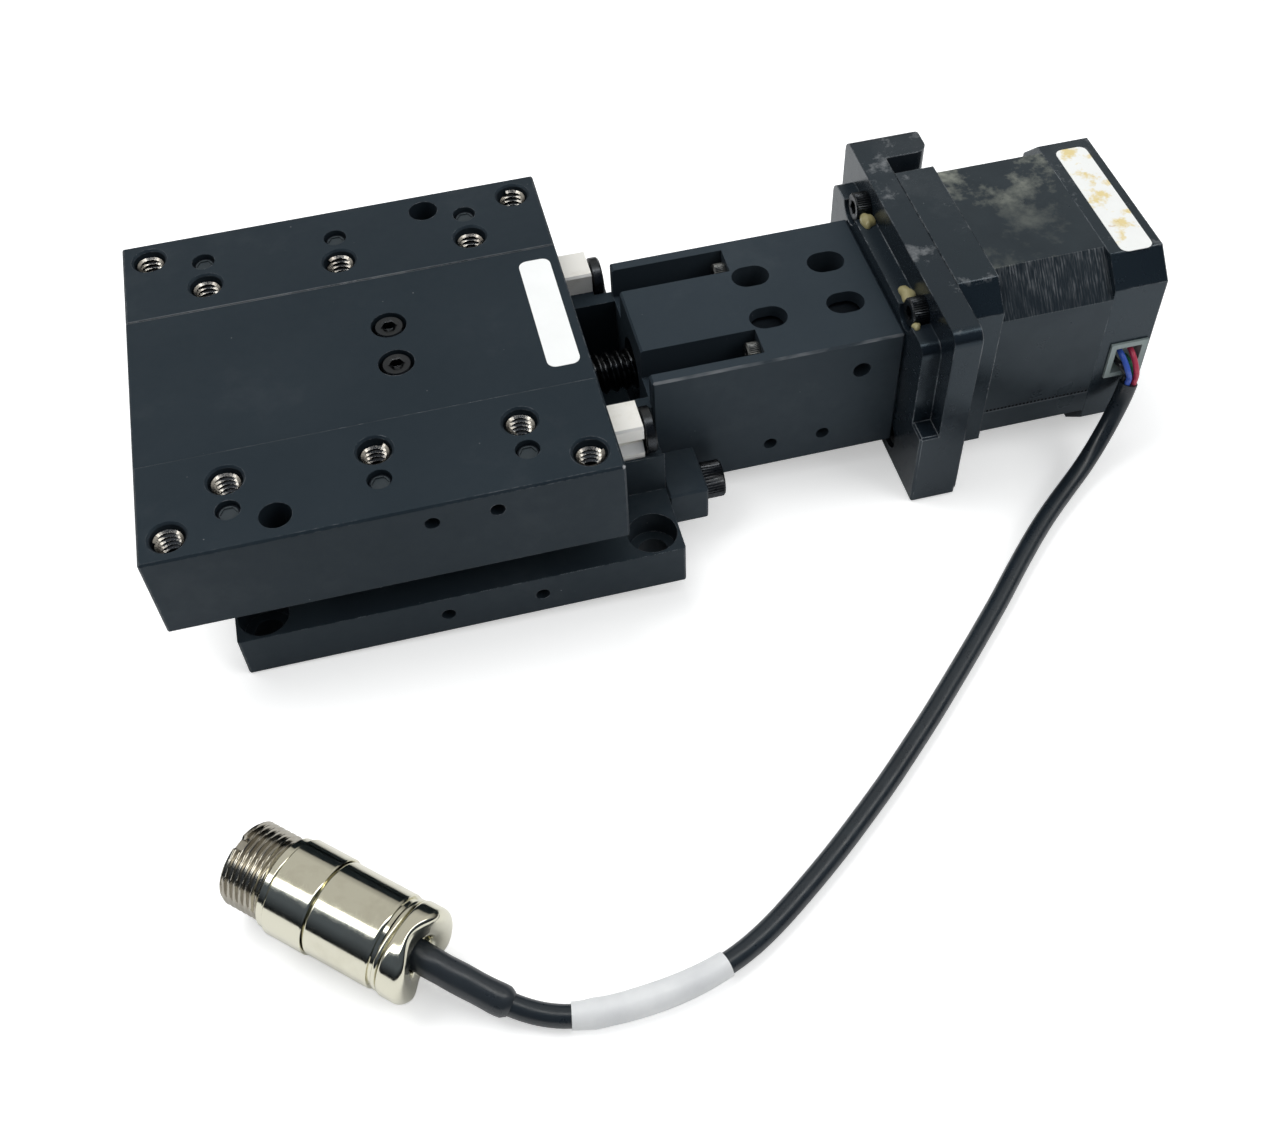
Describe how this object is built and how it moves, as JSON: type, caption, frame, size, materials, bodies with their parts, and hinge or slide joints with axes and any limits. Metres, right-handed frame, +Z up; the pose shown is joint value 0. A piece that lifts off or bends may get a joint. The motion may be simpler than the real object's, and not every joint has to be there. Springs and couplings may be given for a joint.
{
  "type": "motorised linear stage",
  "caption": "Square translation stage on crossed-roller ways, driven along one axis by a stepper motor, flexible coupling and lead screw, with a cable to a round plug.",
  "frame": {"origin": "centre of the base plate's bottom face, which is the centre of its four mounting holes", "axes": "+X along the travel towards the motor, +Z up out of the carriage's top, +Y to the stage's rear long side, away from the cable"},
  "size_m": [0.1857, 0.1584, 0.0422],
  "materials": {
    "black_anodised": "matte black anodised",
    "motor_black": "satin black paint on die-cast metal",
    "stack_black": "satin black paint on stacked sheet steel",
    "bright_steel": "ground",
    "dark_steel": "black oxide",
    "bronze": "satin",
    "copper": "enamelled wire",
    "socket_plastic": "matte",
    "wire_plastic": "insulated wire",
    "cable_rubber": "satin",
    "sleeve_plastic": "printed sleeve left bare",
    "nickel": "nickel plated",
    "black_plastic": "matte"
  },
  "bodies": {
    "stage_base": {"base_plate": "black_anodised", "inner_rail_front": "bright_steel", "inner_rail_rear": "bright_steel", "inner_rail_screws": "dark_steel", "rail_end_screws": "dark_steel", "support_bearing_outer": "bright_steel", "fixed_bearings_outer": "bright_steel", "bearing_retainer": "dark_steel", "drive_housing": "black_anodised", "coupling_cover": "black_anodised", "ear_screws": "dark_steel", "tie_screws": "dark_steel", "motor_plate": "black_anodised", "motor_screws": "dark_steel", "motor_front_cap": "motor_black", "lamination_stack": "stack_black", "motor_rear_cap": "motor_black", "motor_body_screws": "dark_steel", "motor_windings": "copper", "motor_bearings_outer": "bright_steel", "wire_socket": "socket_plastic", "lead_wires": "wire_plastic", "cable_jacket": "cable_rubber", "marker_sleeve": "sleeve_plastic", "cable_boot": "cable_rubber", "plug_shell": "nickel", "plug_barrel": "nickel", "plug_clamp_nut": "nickel", "plug_insert": "black_plastic", "plug_contacts": "bronze"},
    "carriage": {"carriage_plate": "black_anodised", "outer_rail_front": "bright_steel", "outer_rail_rear": "bright_steel", "outer_rail_screws": "dark_steel", "thread_inserts": "bright_steel", "nut_bracket": "black_anodised", "bracket_screws": "dark_steel", "lead_nut": "bronze", "nut_screws": "dark_steel"},
    "cages": {"roller_cage_front": "bronze", "roller_cage_rear": "bronze", "rollers_front": "bright_steel", "rollers_rear": "bright_steel"},
    "screw": {"lead_screw": "dark_steel", "support_bearing_inner": "bright_steel", "fixed_bearings_inner": "bright_steel", "bearing_locknut": "dark_steel", "coupling": "black_anodised", "coupling_screws": "dark_steel", "motor_rotor": "bright_steel", "motor_shaft": "bright_steel", "motor_bearings_inner": "bright_steel"}
  },
  "joints": [
    {"name": "carriage_slide", "type": "slide", "parent": "stage_base", "child": "carriage", "axis": [1, 0, 0], "range_m": [-0.01, 0.03]},
    {"name": "cage_slide", "type": "slide", "parent": "stage_base", "child": "cages", "axis": [1, 0, 0], "range_m": [-0.005, 0.015]},
    {"name": "screw_spin", "type": "hinge", "parent": "stage_base", "child": "screw", "pos_m": [0, 0, 0.0164], "axis": [1, 0, 0], "range_deg": [-5400, 1800]}
  ],
  "couplings": [
    {"joint": "cage_slide", "follows": "carriage_slide", "ratio": 0.5},
    {"joint": "screw_spin", "follows": "carriage_slide", "rad_per_m": -3141.6}
  ]
}
